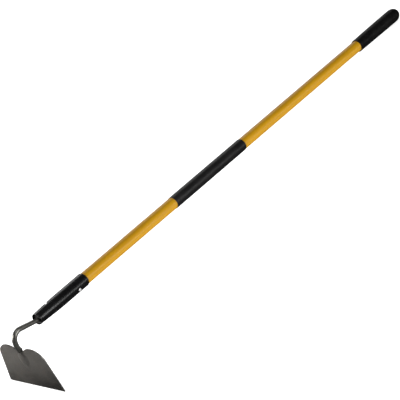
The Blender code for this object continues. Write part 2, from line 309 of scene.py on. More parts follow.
def carve(obj, cutter):  # takes the cutter's shape out of the piece
    modifier = obj.modifiers.new("carve", "BOOLEAN")
    modifier.solver, modifier.object = "EXACT", cutter
    settle(obj)
    bpy.data.objects.remove(cutter)
    return obj


def rod(radius, start, end, sides=32):
    start, end = Vector(start), Vector(end)
    turn = (end - start).to_track_quat("Z", "Y").to_matrix().to_4x4()
    bm = bmesh.new()
    bmesh.ops.create_cone(
        bm, cap_ends=True, segments=sides, radius1=radius, radius2=radius,
        depth=(end - start).length, matrix=Matrix.Translation((start + end) / 2) @ turn,
    )
    return bm


def seat(obj, material, slot, *nodes):  # gives a piece its finish and the parts it stands for
    obj.data.materials.clear()
    obj.data.materials.append(material)
    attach(obj, "root")
    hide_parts(*nodes)
    print("made", obj.name, len(obj.data.polygons), "faces")


blade = {
    "edge": (-0.0528, 0, -0.1360), "lean": 9.19, "width": 0.1588, "thickness": 0.0028,
    "sideTaper": 9.45, "cornerRadius": 0.0035, "bevelHeight": 0.0045, "edgeThickness": 0.0006,
    "lobeTop": 0.1143, "lobeOuter": 0.0320, "lobeInner": 0.0365,
    "bossTop": 0.1050, "bossRadius": 0.0056, "bossFront": 0.0040, "bossBack": 0.0038,
    "bossStart": 0.0870, "bossSlope": 17.01,
    "ribFoot": 0.0450, "ribFull": 0.0860, "ribRise": 0.0056,
    "ribHalfWidth": 0.0145, "ribFootHalfWidth": 0.0070,
    "ribRoundness": 1.8, "bossRoundness": 0.5, "bossEase": 0.004, "bossClear": 0.0005,
    "bossSteps": 10, "innerSteps": 24, "outerSteps": 30, "rows": 90, "crowding": 0.55,
    "softEdge": 0.00022,
}
bladeSteel = {
    "dark": (0.012, 0.011, 0.0095), "light": (0.148, 0.139, 0.126), "tint": (0.115, 0.080, 0.058),
    "metallic": 0.30, "roughness": 0.38, "coat": 0.35, "bump": 0.00010,
    "mottle": 42.0, "fine": 420.0, "scale": 0.45,
    # painted light: these keys paint the plate paler towards its top and its +Y side
    "paintedLightLow": -0.010, "paintedLightHigh": 0.086, "paintedLightUp": 0.51, "paintedLightAcross": 2.5, "shadeShare": 0.26,
    "ground": (0.16, 0.155, 0.145), "edge": (0.35, 0.34, 0.32), "edgeHeight": 0.0014,
}
neckSteel = {
    "dark": (0.100, 0.098, 0.087), "light": (0.152, 0.149, 0.134), "tint": (0.100, 0.086, 0.070),
    "metallic": 0.75, "roughness": 0.31, "coat": 0.08, "bump": 0.00003,
    "mottle": 60.0, "fine": 520.0, "scale": 0.15,
}
bladeFrame = toolFrame @ Matrix.Translation(blade["edge"]) @ Matrix.Rotation(
    math.radians(-blade["lean"]), 4, "Y"
)


def ribShape(height):  # the rib, and the boss that it grows into, at one height
    b = blade
    rib = smoothstep(b["ribFoot"], b["ribFull"], height)
    boss = smoothstep(b["bossStart"], b["bossTop"] - b["bossEase"], height)
    ribWidth = lerp(b["ribFootHalfWidth"], b["ribHalfWidth"], rib)
    halfWidth = lerp(ribWidth, b["bossRadius"], boss)
    front = lerp(b["ribRise"] * rib, b["bossFront"], boss)
    roundness = lerp(b["ribRoundness"], b["bossRoundness"], boss)
    return halfWidth, front, b["bossBack"] * boss, roundness


def skinPoint(y, height, front):
    halfWidth, frontRise, backRise, roundness = ribShape(height)
    hump = max(0, 1 - (y / halfWidth) ** 2) ** roundness
    if not front:
        return Vector((backRise * hump, y, height))
    share = min(height / blade["bevelHeight"], 1)
    thickness = lerp(blade["edgeThickness"], blade["thickness"], share)
    return Vector((-thickness - frontRise * hump, y, height))


def topEdge():  # from the middle of the boss over one lobe to the side
    b = blade
    side = math.radians(b["sideTaper"])
    sideY = b["width"] / 2 - math.tan(side) * (b["lobeTop"] - b["lobeOuter"])
    crestY = sideY - b["lobeOuter"] / math.cos(side)
    points = []
    for i in range(b["bossSteps"] + 1):
        turn = math.radians(90 * i / b["bossSteps"])
        points.append((b["bossRadius"] * math.sin(turn), b["bossTop"]))
    reach = math.asin((crestY - b["bossRadius"] - b["bossClear"]) / b["lobeInner"])
    for i in range(b["innerSteps"]):
        turn = reach * (1 - i / b["innerSteps"])
        height = b["lobeTop"] - b["lobeInner"] * (1 - math.cos(turn))
        points.append((crestY - b["lobeInner"] * math.sin(turn), height))
    for i in range(b["outerSteps"] + 1):
        turn = (math.pi / 2 - side) * i / b["outerSteps"]
        height = b["lobeTop"] - b["lobeOuter"] * (1 - math.cos(turn))
        points.append((crestY + b["lobeOuter"] * math.sin(turn), height))
    return points


def bottomEdge(count):  # as many points along the cutting edge, with its rounded corner
    b = blade
    side = math.radians(b["sideTaper"])
    upTheSide = (b["width"] / 2 - math.sin(side), math.cos(side))
    corner = rounded((b["width"] / 2, 0), (0, 0), upTheSide, b["cornerRadius"], 8)
    straight = count - len(corner)
    return [(corner[0][0] * i / straight, 0) for i in range(straight)] + corner


def makeBlade():
    top = topEdge()
    bottom = bottomEdge(len(top))
    top = [(-y, height) for y, height in top[:0:-1]] + top
    bottom = [(-y, height) for y, height in bottom[:0:-1]] + bottom
    rows, bossSlope = blade["rows"], math.tan(math.radians(blade["bossSlope"]))
    bm = bmesh.new()
    skins = []
    for front in (True, False):
        columns = []
        for (lowY, low), (highY, high) in zip(bottom, top):
            bevel = (blade["bevelHeight"] - low) / (high - low)
            column = []
            for row in range(rows + 1):
                reach = max(row - 1, 0) / (rows - 1)
                eased = lerp(reach, math.sin(reach * math.pi / 2), blade["crowding"])
                t = lerp(bevel, 1, eased) if row else 0
                point = skinPoint(lerp(lowY, highY, t), lerp(low, high, t), front)
                if row == rows and abs(highY) <= blade["bossRadius"]:
                    point.z += bossSlope * (point.x + blade["thickness"] / 2)
                column.append(bm.verts.new(point))
            columns.append(column)
        skins.append(columns)
        for left, right in zip(columns, columns[1:]):
            for row in range(rows):
                bm.faces.new((left[row], right[row], right[row + 1], left[row + 1]))
    rims = []  # once round the outline of each skin
    for columns in skins:
        rim = [column[0] for column in columns] + columns[-1][1:]
        rim += [column[-1] for column in columns[-2::-1]] + columns[0][-2:0:-1]
        rims.append(rim)
    frontRim, backRim = rims
    for i in range(len(frontRim)):
        bm.faces.new((frontRim[i - 1], frontRim[i], backRim[i], backRim[i - 1]))
    obj = addPiece("bladePlate", bm, bladeFrame)
    soften = obj.modifiers.new("soften", "BEVEL")
    soften.width, soften.segments = blade["softEdge"], 2
    soften.limit_method, soften.angle_limit = "ANGLE", math.radians(40)
    return settle(obj)


def forgedSteel(name, steel, origin, bevelled):
    material, net, shader, place = finish(
        name, {"IOR": 1.5, "Coat Roughness": 0.28, "Coat IOR": 1.45}, origin
    )
    mottle = net.grain(place, steel["mottle"], 5.0, 0.62).step(0.36, 0.66)
    fine = net.grain(place, steel["fine"], 3.0, 0.6).step(0.35, 0.68)
    scale = net.grain(place, 140.0, 4.0, 0.7, distortion=0.6).step(0.52, 0.72)
    brush = net.grain(place, 60.0, 2.0, 0.5, stretch=(1, 22, 1)).step(0.3, 0.7)
    shade = mottle * 0.30 + fine * 0.50 + brush * 0.20
    if bevelled:  # painted light: the plate's colour is painted paler towards its top and its +Y side, standing in for how the light falls on it
        x, y, z = net.axes(place)
        paintedLight = z.step(steel["paintedLightLow"], steel["paintedLightHigh"]) * steel["paintedLightUp"]
        paintedLight = paintedLight + y * steel["paintedLightAcross"]
        shade = (shade * steel["shadeShare"] + paintedLight).most(0.0).least(1.0)
    colour = net.blend(shade, steel["dark"], steel["light"])
    colour = net.blend(scale * steel["scale"], colour, steel["tint"])
    roughness = steel["roughness"] + (mottle + scale) * 0.2 * steel["scale"] - fine * 0.04
    metallic = steel["metallic"] - scale * 0.4 * steel["scale"]
    height = fine * 0.5 + (mottle + scale) * steel["scale"]
    if bevelled:  # grinding marks on the bevel, and a thin bright line at the edge itself
        ground = z.step(blade["bevelHeight"] + 0.0003, blade["bevelHeight"] - 0.0003)
        marks = net.grain(place, 30.0, 2.0, 0.6, stretch=(1, 60, 1)).step(0.3, 0.7)
        bright = z.step(steel["edgeHeight"], 0.0004)
        colour = net.blend(ground * (0.35 + marks * 0.3), colour, steel["ground"])
        colour = net.blend(bright * 0.6, colour, steel["edge"])
        roughness = roughness - ground * 0.08
        height = height + ground * marks * 0.5
    feed(
        net, shader, colour=colour, roughness=roughness, metallic=metallic,
        coat=steel["coat"] * (1 - scale * 0.5), normal=bump(net, height, steel["bump"]),
    )
    return material


bladeFinish = forgedSteel("bladeSteel", bladeSteel, bladeFrame, True)
seat(makeBlade(), bladeFinish, "forged_steel", "blade")


neck = {
    "tangZ": -0.0026, "tangEnd": 0.138, "chamfer": 0.0012,
    "tangDiameter": 0.0104, "bendDiameter": 0.0116, "swell": (0.005, 0.065),
    "rise": 12.95, "rootRadius": 0.025, "top": (-0.0530, 0, 0.0099),
    "bendRadius": 0.0192, "lowerRadius": 0.0524, "lowerTurn": 26.2, "sides": 48,
    "tangSteps": 16, "rootSteps": 8, "riseSteps": 8, "bendSteps": 40, "lowerSteps": 18,
}


def bend(start, heading, radius, turn, steps):  # points and headings round an arc
    centre = start + along(heading + 90) * radius
    angles = [heading + turn * i / steps for i in range(1, steps + 1)]
    return [(centre + along(angle - 90) * radius, angle) for angle in angles]


def neckPath():  # from the tang's end, out of the ferrule, over and down to the blade
    n = neck
    rise, top = math.radians(n["rise"]), Vector(n["top"])
    climb = top.z - n["tangZ"] - n["rootRadius"] * (1 - math.cos(rise))
    rootX = top.x + climb / math.tan(rise) + n["rootRadius"] * math.sin(rise)
    root, tangEnd = Vector((rootX, 0, n["tangZ"])), Vector((n["tangEnd"], 0, n["tangZ"]))
    path = [(tangEnd, 180)]
    shoulder = tangEnd - Vector((n["chamfer"], 0, 0))
    for i in range(n["tangSteps"] + 1):
        path.append((lerp(shoulder, root, i / n["tangSteps"]), 180))
    arc = [n["rise"] * i / n["rootSteps"] for i in range(1, n["rootSteps"] + 1)]
    lift = Vector((0, 0, n["rootRadius"]))
    path += [(root + along(270 - a) * n["rootRadius"] + lift, 180 - a) for a in arc]
    foot = path[-1][0]
    for i in range(1, n["riseSteps"] + 1):
        path.append((foot.lerp(top, i / n["riseSteps"]), 180 - n["rise"]))
    path += bend(top, 180 - n["rise"], n["bendRadius"], 90 + n["rise"], n["bendSteps"])
    path += bend(path[-1][0], 270, n["lowerRadius"], n["lowerTurn"], n["lowerSteps"])
    return path


def newTree(name, inputs):  # a Geometry Nodes tree, and what comes in by each named input
    tree = bpy.data.node_groups.new(name, "GeometryNodeTree")
    tree.interface.new_socket("Geometry", in_out="OUTPUT", socket_type="NodeSocketGeometry")
    for label, kind in inputs.items():
        tree.interface.new_socket(label, in_out="INPUT", socket_type="NodeSocket" + kind)
    net = Net(tree)
    return net, net.add("NodeGroupInput").outlets()[:len(inputs)]


def endTree(net, skin, material):
    skin = net.add("GeometryNodeRealizeInstances", {}, {"Geometry": skin})
    skin = net.add("GeometryNodeSetMaterial", {}, {"Geometry": skin, "Material": material})
    net.add("NodeGroupOutput", {}, {0: skin})
    return net.tree


def sweepTree():  # a round bar along a line, as thick as the line's own swell says
    net, (line, sides, thin, thick, material) = newTree("roundBar", {
        "Geometry": "Geometry", "Sides": "Int", "Thin radius": "Float", "Thick radius": "Float",
        "Material": "Material",
    })
    swell = net.add("GeometryNodeInputNamedAttribute", {"data_type": "FLOAT"}, {"Name": "swell"})
    bar = net.add("GeometryNodeMeshToCurve", {}, {0: line})
    ring = net.add("GeometryNodeCurvePrimitiveCircle", {}, {"Resolution": sides, "Radius": 1.0})
    values = {"Curve": bar, "Profile Curve": ring, "Fill Caps": True}
    values["Scale"] = thin + (thick - thin) * swell
    return endTree(net, net.add("GeometryNodeCurveToMesh", {}, values), material)


def applyTree(obj, tree, inputs):
    modifier = obj.modifiers.new(tree.name, "NODES")
    modifier.node_group = tree
    for item in tree.interface.items_tree:
        if item.in_out == "INPUT" and item.name in inputs:
            modifier[item.identifier] = inputs[item.name]
    return obj


def makeNeck(material, gap=0.0):  # with a gap, it is the tool that bores the plug round it
    n, path = neck, neckPath()
    line = bpy.data.meshes.new("gooseNeck")
    spots = [toolFrame @ spot for spot, heading in path]
    line.from_pydata(spots, [(i, i + 1) for i in range(len(spots) - 1)], [])
    swell = [smoothstep(*n["swell"], -spot.x) for spot, heading in path]
    swell[0] = -2 * n["chamfer"] / (n["bendDiameter"] - n["tangDiameter"])  # the tip's chamfer
    line.attributes.new("swell", "FLOAT", "POINT").data.foreach_set("value", swell)
    obj = bpy.data.objects.new("gooseNeck", line)
    scene.collection.objects.link(obj)
    applyTree(obj, sweepTree(), {
        "Sides": n["sides"], "Thin radius": n["tangDiameter"] / 2 + gap,
        "Thick radius": n["bendDiameter"] / 2 + gap, "Material": material,
    })
    return settle(obj)


neckFinish = forgedSteel("neckSteel", neckSteel, toolFrame, False)
gooseNeck = makeNeck(neckFinish)
rivetHole = {"x": 0.1275, "radius": 0.0027, "reach": 0.03}


def holeTool():
    x, z = rivetHole["x"], neck["tangZ"]
    ends = (x, -rivetHole["reach"], z), (x, rivetHole["reach"], z)
    return addPiece("rivetHole", rod(rivetHole["radius"], *ends), toolFrame)


seat(carve(gooseNeck, holeTool()), neckFinish, "forged_steel", "goose_neck")


weld = {
    "inner": 0.0059, "low": -0.0014, "high": 0.0018,
    "ripples": 48, "rippleRadius": 0.00046, "jitter": 0.12, "seed": 7,
    "proud": 0.0001, "bulge": 0.0002, "flatness": 0.62, "steps": 12, "sides": 64,
}
weldMetal = {
    "dark": (0.035, 0.032, 0.028), "light": (0.10, 0.093, 0.08), "heat": (0.07, 0.052, 0.045),
    "roughness": 0.42, "metallic": 0.75, "coat": 0.3, "bump": 0.00008,
}


def weldTree():  # flattened drops laid round a ring, each a little different, over a plain core
    net, (core, ripples, ring, size, jitter, seed, material) = newTree("weldRipples", {
        "Geometry": "Geometry", "Ripples": "Int", "Ring radius": "Float",
        "Ripple radius": "Float", "Jitter": "Float", "Seed": "Int", "Material": "Material",
    })
    values = {"Resolution": ripples, "Radius": ring}
    circle = net.add("GeometryNodeCurvePrimitiveCircle", {}, values)
    values = {"Curve": circle, "Count": ripples}
    points = net.add("GeometryNodeCurveToPoints", {}, values)
    turn = Wire(net, points.socket.node.outputs["Rotation"])
    drop = net.add("GeometryNodeMeshUVSphere", {}, {"Segments": 14, "Rings": 9, "Radius": size})
    vary = net.add(
        "FunctionNodeRandomValue", {"data_type": "FLOAT"},
        {"Min_001": 1 - jitter, "Max_001": 1 + jitter, "Seed": seed}, "Value_001",
    )
    flat = net.add("ShaderNodeCombineXYZ", {}, {0: vary, 1: vary, 2: vary * weld["flatness"]})
    values = {"Points": points, "Instance": drop, "Rotation": turn, "Scale": flat}
    drops = net.add("GeometryNodeInstanceOnPoints", {}, values)
    joined = net.add("GeometryNodeJoinGeometry", {}, {0: [drops, core]})
    return endTree(net, joined, material)


def makeWeld(material):
    w = weld
    profile = [(w["low"], w["inner"]), (w["high"], w["inner"])]
    for i in range(w["steps"] + 1):
        angle = math.pi * i / w["steps"]
        across = (w["low"] + w["high"]) / 2 + (w["high"] - w["low"]) / 2 * math.cos(angle)
        profile.append((across, w["inner"] + w["proud"] + w["bulge"] * math.sin(angle)))
    end, heading = neckPath()[-1]
    core = turned(profile, w["sides"])
    bmesh.ops.rotate(core, verts=core.verts, matrix=Matrix.Rotation(math.pi / 2, 3, "Y"))
    obj = addPiece("weldBead", core, Matrix.Identity(4))
    applyTree(obj, weldTree(), {
        "Ripples": w["ripples"], "Ring radius": w["inner"] + w["proud"],
        "Ripple radius": w["rippleRadius"], "Jitter": w["jitter"], "Seed": w["seed"],
        "Material": material,
    })
    settle(obj)
    foot = Matrix.Translation(end) @ Matrix.Rotation(-math.radians(heading + 180), 4, "Y")
    lift = Matrix.Translation(((w["low"] + w["high"]) / 2, 0, 0))
    obj.data.transform(toolFrame @ foot @ lift @ Matrix.Rotation(-math.pi / 2, 4, "Y"))
    return obj


def weldFinish():
    m = weldMetal
    material, net, shader, place = finish("weldedSteel", {"Coat Roughness": 0.3})
    soot = net.grain(place, 260.0, 4.0, 0.6).step(0.35, 0.65)
    heat = net.grain(place, 90.0, 2.0, 0.5).step(0.40, 0.62)
    colour = net.blend(soot, m["dark"], m["light"])
    colour = net.blend(heat * 0.5, colour, m["heat"])
    feed(
        net, shader, colour=colour, roughness=m["roughness"] + soot * 0.2,
        metallic=m["metallic"] - heat * 0.2, coat=m["coat"] - soot * 0.2,
        normal=bump(net, soot + heat, m["bump"]),
    )
    return material


weldedSteel = weldFinish()
seat(makeWeld(weldedSteel), weldedSteel, "weld_steel", "neck_weld")


ferrule = {
    "diameter": 0.0316, "nose": 0.0270, "length": 0.1609, "wall": 0.0012,
    "noseEdge": 0.0009, "rimEdge": 0.0011, "edgeSteps": 8, "swageEnd": 0.085, "fullness": 1.2,
    "swageRows": 170, "firstRow": 4, "rowStep": 0.0015, "sides": 144,
    "crimpX": 0.0437, "crimpDepth": 0.0031, "crimpNose": 0.0028, "crimpAngles": (55, 235),
    "crimpSlant": 39, "crimpReach": 0.015, "crimpSoft": 0.0004, "crimpCore": 0.004,
}
lacquer = {
    "dark": (0.0012, 0.0012, 0.0014), "light": (0.0028, 0.0028, 0.0030),
    "dust": (0.09, 0.085, 0.08), "worn": (0.05, 0.047, 0.043),
    "roughness": 0.30, "coat": 0.85, "coatRoughness": 0.24, "bump": 0.00003, "wornFrom": 0.1592,
}


def ferruleRadius(x):  # swaged down towards the nose
    f = ferrule
    ease = math.sin(min(x / f["swageEnd"], 1) * math.pi / 2) ** f["fullness"]
    return lerp(f["nose"], f["diameter"], ease) / 2


def crimpDent(point):  # how far the two round-nosed bars, laid aslant, press the skin in here
    f, radius = ferrule, ferruleRadius(point.x)
    flat = Vector((0, point.y, point.z))
    slant = along(f["crimpSlant"])
    reach = ferruleRadius(f["crimpX"]) + f["crimpNose"] - f["crimpDepth"]
    dent = 0
    for angle in f["crimpAngles"]:
        turn = math.radians(angle)
        across = flat.normalized().dot((0, math.cos(turn), math.sin(turn)))
        sideways = flat.dot((0, -math.sin(turn), math.cos(turn)))
        offset = (point.x - f["crimpX"]) * slant.x + sideways * slant.z
        square = f["crimpNose"] ** 2 - offset ** 2
        if square > 0 and across > 0.5:
            dent = max(dent, radius - (reach - math.sqrt(square)) / across)
    return dent * smoothstep(0, f["crimpSoft"], dent)


def pressCrimps(bm):  # the wall gets thinner at the sides of each groove
    f = ferrule
    for vert in bm.verts:
        across = math.hypot(vert.co.y, vert.co.z)
        if abs(vert.co.x - f["crimpX"]) < f["crimpReach"] and across > f["crimpCore"]:
            share = 1 - crimpDent(vert.co) / across
            vert.co.y, vert.co.z = vert.co.y * share, vert.co.z * share


def makeFerrule():
    f = ferrule
    nose, rim = (0, ferruleRadius(0)), (f["length"], f["diameter"] / 2)
    places = range(f["firstRow"], f["swageRows"] + 1)
    swaged = [f["swageEnd"] * i / f["swageRows"] for i in places]
    count = int((f["length"] - f["swageEnd"]) / f["rowStep"])
    rows = swaged + [f["swageEnd"] + f["rowStep"] * i for i in range(1, count)]
    inner = swaged[::2] + rows[len(swaged)::2]
    profile = rounded(nose, (0, 0), (f["swageEnd"], nose[1]), f["noseEdge"], f["edgeSteps"])
    profile += [(x, ferruleRadius(x)) for x in rows]
    profile += rounded(rim, (0, rim[1]), (rim[0], 0), f["rimEdge"], f["edgeSteps"])
    profile += [(f["length"], rim[1] - f["wall"])]
    profile += [(x, ferruleRadius(x) - f["wall"]) for x in reversed(inner)]
    profile += [(0, nose[1] - f["wall"])]
    bm = turned(profile, f["sides"])
    pressCrimps(bm)
    return carve(addPiece("ferruleSleeve", bm, toolFrame), holeTool())


def lacquerFinish():
    m = lacquer
    material, net, shader, place = finish("blackLacquer", {
        "Coat Roughness": m["coatRoughness"], "IOR": 1.45, "Specular IOR Level": 0.1,
    })
    x, y, z = net.axes(place)
    peel = net.grain(place, 520.0, 2.0, 0.4)
    dust = net.grain(place, 900.0, 2.0, 0.6).step(0.66, 0.78)
    cloud = net.grain(place, 60.0, 3.0, 0.55).step(0.35, 0.7)
    ends = x.step(0.0016, 0.0002).most(x.step(m["wornFrom"], m["wornFrom"] + 0.0014))
    worn = ends * cloud
    colour = net.blend(cloud, m["dark"], m["light"])
    colour = net.blend(dust * 0.35, colour, m["dust"])
    colour = net.blend(worn * 0.25, colour, m["worn"])
    feed(
        net, shader, colour=colour, roughness=m["roughness"] + cloud * 0.08 + dust * 0.2,
        coat=m["coat"] - worn * 0.3 - dust * 0.4,
        normal=bump(net, peel + dust * 0.6, m["bump"], 0.7),
    )
    return material


blackLacquer = lacquerFinish()
seat(makeFerrule(), blackLacquer, "black_lacquer", "ferrule")


rivet = {
    "shank": 0.0024, "head": 0.0037, "rim": 0.0004, "height": 0.0018, "sides": 48,
    "edge": 0.0001, "domeSteps": 14,
}
zinc = {
    "dark": (0.50, 0.49, 0.48), "light": (0.80, 0.79, 0.78), "spots": (0.16, 0.15, 0.14),
    "roughness": 0.28, "metallic": 0.35, "bump": 0.00004,
}


def makeRivet():
    r = rivet
    start = ferrule["diameter"] / 2 + fitGap
    rim = start + r["rim"]
    right = [(start, r["shank"]), (start, r["head"] - r["edge"]), (start + r["edge"], r["head"])]
    right.append((rim, r["head"]))
    for i in range(1, r["domeSteps"]):
        angle = math.pi / 2 * i / r["domeSteps"]
        height = (r["height"] - r["rim"]) * math.sin(angle)
        right.append((rim + height, r["head"] * math.cos(angle)))
    right.append((start + r["height"], 0))
    left = [(-x, radius) for x, radius in reversed(right)]
    bm = turned(left + right, r["sides"], closed=False)
    hole = Matrix.Translation((rivetHole["x"], 0, neck["tangZ"]))
    return addPiece("crossRivet", bm, toolFrame @ hole @ Matrix.Rotation(math.pi / 2, 4, "Z"))


def rivetFinish():
    m = zinc
    material, net, shader, place = finish("rivetSteel", {"Coat Roughness": 0.3})
    spots = net.grain(place, 900.0, 3.0, 0.6).step(0.4, 0.66)
    rubbed = net.grain(place, 300.0, 2.0, 0.5, stretch=(6, 1, 1)).step(0.35, 0.7)
    colour = net.blend(rubbed, m["dark"], m["light"])
    colour = net.blend(spots * 0.35, colour, m["spots"])
    feed(
        net, shader, colour=colour, roughness=m["roughness"] + spots * 0.15,
        metallic=m["metallic"] - spots * 0.1, normal=bump(net, spots + rubbed, m["bump"]),
    )
    return material


rivetSteel = rivetFinish()
seat(makeRivet(), rivetSteel, "rivet_steel", "ferrule_rivet")


fibreglass = {
    "deep": (0.32, 0.142, 0.002), "body": (0.455, 0.232, 0.003), "vein": (0.56, 0.33, 0.020),
    # this dark brown is used for real dirt in the pits and for the bands of grime and painted
    # shade next to the ferrule and the sleeves
    "grimeAndShade": (0.16, 0.075, 0.012), "roughness": 0.33, "coat": 0.20, "bump": 0.00005,
    "grimeAndShadeReach": 0.0045,
}


def makeTube():
    t = tube
    outer, inner = t["diameter"] / 2, t["diameter"] / 2 - t["wall"]
    start, end = t["start"], t["start"] + t["length"]
    rows = [t["fineFrom"] + t["fineStep"] * i for i in range(t["fineRows"])]
    rows += [t["coarseFrom"] + t["coarseStep"] * i for i in range(t["coarseRows"])]
    profile = [(start, inner), (start, outer)] + [(x, outer) for x in rows]
    profile += [(end, outer), (end, inner)] + [(x, inner) for x in reversed(rows[::2])]
    return carve(addPiece("fibreglassTube", turned(profile, t["sides"]), toolFrame), holeTool())


def fibreFinish():
    f = fibreglass
    material, net, shader, place = finish("yellowFibreglass", {
        "Coat Roughness": 0.16, "IOR": 1.5, "Specular IOR Level": 0.28,
    })
    x, y, z = net.axes(place)
    strands = net.grain(place, 620.0, 3.0, 0.55, stretch=(0.010, 1, 1)).step(0.32, 0.68)
    veins = net.grain(place, 1300.0, 2.0, 0.5, stretch=(0.006, 1, 1)).step(0.50, 0.72)
    cloud = net.grain(place, 14.0, 3.0, 0.5, stretch=(0.5, 1, 1)).step(0.35, 0.65)
    pits = net.grain(place, 1500.0, 2.0, 0.5, stretch=(0.25, 1, 1)).step(0.68, 0.80)
    # grime and painted shade: the tube is darkened in bands next to the ferrule's end and the
    # sleeves' ends, partly dirt and partly painted contact shade
    ends = [ferrule["length"], sleeve["start"], sleeve["end"], endGrip["start"]]
    bands = [abs(x - end).step(f["grimeAndShadeReach"], 0.0002) for end in ends]
    grimeAndShade = bands[0]
    for band in bands[1:]:
        grimeAndShade = grimeAndShade.most(band)
    colour = net.blend(strands, f["deep"], f["body"])
    colour = net.blend(0.55 + cloud * 0.2, colour, f["body"])
    colour = net.blend(veins * 0.35, colour, f["vein"])
    colour = net.blend(grimeAndShade * (0.15 + cloud * 0.15) + pits * 0.3, colour, f["grimeAndShade"])
    feed(
        net, shader, colour=colour, roughness=f["roughness"] + strands * 0.07 + grimeAndShade * 0.15,
        coat=f["coat"] - grimeAndShade * 0.12 - pits * 0.08,
        normal=bump(net, strands * 0.6 + veins * 0.4 - pits * 0.6, f["bump"], 0.6),
    )
    return material


endGrip = {
    "start": 1.2528, "front": 0.0326, "butt": 0.0346, "lip": 0.0010,
    "domeStart": 1.4170, "domeLength": 0.0225, "bore": 0.0144, "boreEnd": 1.4254,
    "unevenness": 0.00010, "unevenScale": 45, "rows": 80, "domeSteps": 32, "sides": 112,
}
yellowFibreglass = fibreFinish()
seat(makeTube(), yellowFibreglass, "yellow_fibreglass", "handle_tube")


softSleeve = {
    "dark": (0.0040, 0.0040, 0.0041), "light": (0.0062, 0.0060, 0.0059),
    "scuff": (0.045, 0.044, 0.042), "roughness": 0.42, "coat": 0.07, "bump": 0.00005,
}
softGrip = {
    "dark": (0.0018, 0.0018, 0.0019), "light": (0.0036, 0.0035, 0.0034),
    "rub": (0.032, 0.031, 0.030), "roughness": 0.43, "bump": 0.00012,
}
softEnd = 0.001  # the first and last rows of a soft skin stand this far in


def uneven(bm, amount, scale, inner):  # a soft skin is never quite true
    for vert in bm.verts:
        radius = math.hypot(vert.co.y, vert.co.z)
        if radius > inner:
            spot = Vector((vert.co.x * scale, vert.co.y * scale * 3, vert.co.z * scale * 3))
            share = 1 - amount * (1 + noise.noise(spot)) / radius
            vert.co.y, vert.co.z = vert.co.y * share, vert.co.z * share


def makeSleeve():
    s = sleeve
    inner, outer = tube["diameter"] / 2 + fitGap, s["diameter"] / 2
    start, end = s["start"], s["end"]
    profile = [(start, inner)]
    profile += rounded((start, outer), (start, 0), (end, outer), s["edge"])
    for i in range(s["rows"] + 1):
        profile.append((start + softEnd + (end - start - 2 * softEnd) * i / s["rows"], outer))
    profile += rounded((end, outer), (start, outer), (end, 0), s["edge"])
    profile += [(end, inner)]
    bm = turned(profile, s["sides"])
    uneven(bm, s["unevenness"], s["unevenScale"], inner + 0.0004)
    return addPiece("middleSleeve", bm, toolFrame)


def sleeveFinish():
    m = softSleeve
    material, net, shader, place = finish("blackSleeve", {
        "IOR": 1.5, "Coat Roughness": 0.34, "Specular IOR Level": 0.30,
    })
    x, y, z = net.axes(place)
    skin = net.grain(place, 700.0, 3.0, 0.55)
    pull = net.grain(place, 380.0, 2.0, 0.5, stretch=(0.05, 1, 1)).step(0.35, 0.65)
    cloud = net.grain(place, 26.0, 3.0, 0.5).step(0.35, 0.7)
    scuff = net.grain(place, 160.0, 4.0, 0.7, stretch=(1, 0.25, 0.25)).step(0.62, 0.74)
    edge = abs(x - (sleeve["start"] + sleeve["end"]) / 2).step(0.1333, 0.1349)
    colour = net.blend(cloud, m["dark"], m["light"])
    colour = net.blend(scuff * 0.25 + edge * 0.25, colour, m["scuff"])
    feed(
        net, shader, colour=colour, roughness=m["roughness"] + cloud * 0.06 + scuff * 0.12,
        coat=m["coat"] - scuff * 0.05, normal=bump(net, skin * 0.7 + pull * 0.3, m["bump"], 0.6),
    )
    return material


blackSleeve = sleeveFinish()
seat(makeSleeve(), blackSleeve, "black_sleeve", "mid_grip")


def makeEndGrip():
    g = endGrip
    front, butt, start = g["front"] / 2, g["butt"] / 2, g["start"]
    profile = [(start, g["bore"])]
    profile += rounded((start, front), (start, 0), (g["domeStart"], front), g["lip"])
    for i in range(1, g["rows"] + 1):
        swell = math.sin(math.pi / 2 * i / g["rows"])
        across = lerp(start + softEnd, g["domeStart"], i / g["rows"])
        profile.append((across, lerp(front, butt, swell)))
    for i in range(1, g["domeSteps"]):
        angle = math.pi / 2 * i / g["domeSteps"]
        across = g["domeStart"] + g["domeLength"] * math.sin(angle)
        profile.append((across, butt * math.cos(angle)))
    tip, floor = g["domeStart"] + g["domeLength"], g["boreEnd"]
    profile += [(tip, 0), (floor, 0), (floor, g["bore"])]
    bm = turned(profile, g["sides"])
    uneven(bm, g["unevenness"], g["unevenScale"], g["bore"] + 0.0006)
    return addPiece("endGripRubber", bm, toolFrame)


def rubberFinish():
    m = softGrip
    material, net, shader, place = finish("blackRubber", {"IOR": 1.5, "Specular IOR Level": 0.16})
    cells = net.add(
        "ShaderNodeTexVoronoi", {"feature": "F1"}, {"Vector": place, "Scale": 1500.0}, "Distance"
    )
    skin = net.grain(place, 900.0, 4.0, 0.6)
    cloud = net.grain(place, 40.0, 3.0, 0.55).step(0.35, 0.68)
    rub = net.grain(place, 150.0, 4.0, 0.65).step(0.56, 0.72)
    colour = net.blend(cloud, m["dark"], m["light"])
    colour = net.blend(rub * 0.3, colour, m["rub"])
    feed(
        net, shader, colour=colour, roughness=m["roughness"] + cloud * 0.08 + rub * 0.12,
        normal=bump(net, cells * 0.5 + skin * 0.5, m["bump"], 0.7),
    )
    return material


blackRubber = rubberFinish()
seat(makeEndGrip(), blackRubber, "black_rubber", "end_grip")


dowel = {
    "early": (0.52, 0.34, 0.17), "late": (0.32, 0.17, 0.07), "fibre": (0.24, 0.13, 0.06),
    "heart": (-0.02, 0.012), "ringWidth": 0.0011, "roughness": 0.6, "bump": 0.00012,
}
moulded = {
    "dark": (0.009, 0.009, 0.0092), "light": (0.020, 0.020, 0.020),
    "lineWidth": 0.0006, "roughness": 0.5, "bump": 0.0001,
}


def rings(net, across, width):  # up and down once every two widths
    return net.add("ShaderNodeMath", {"operation": "PINGPONG"}, {0: across, 1: width}) / width


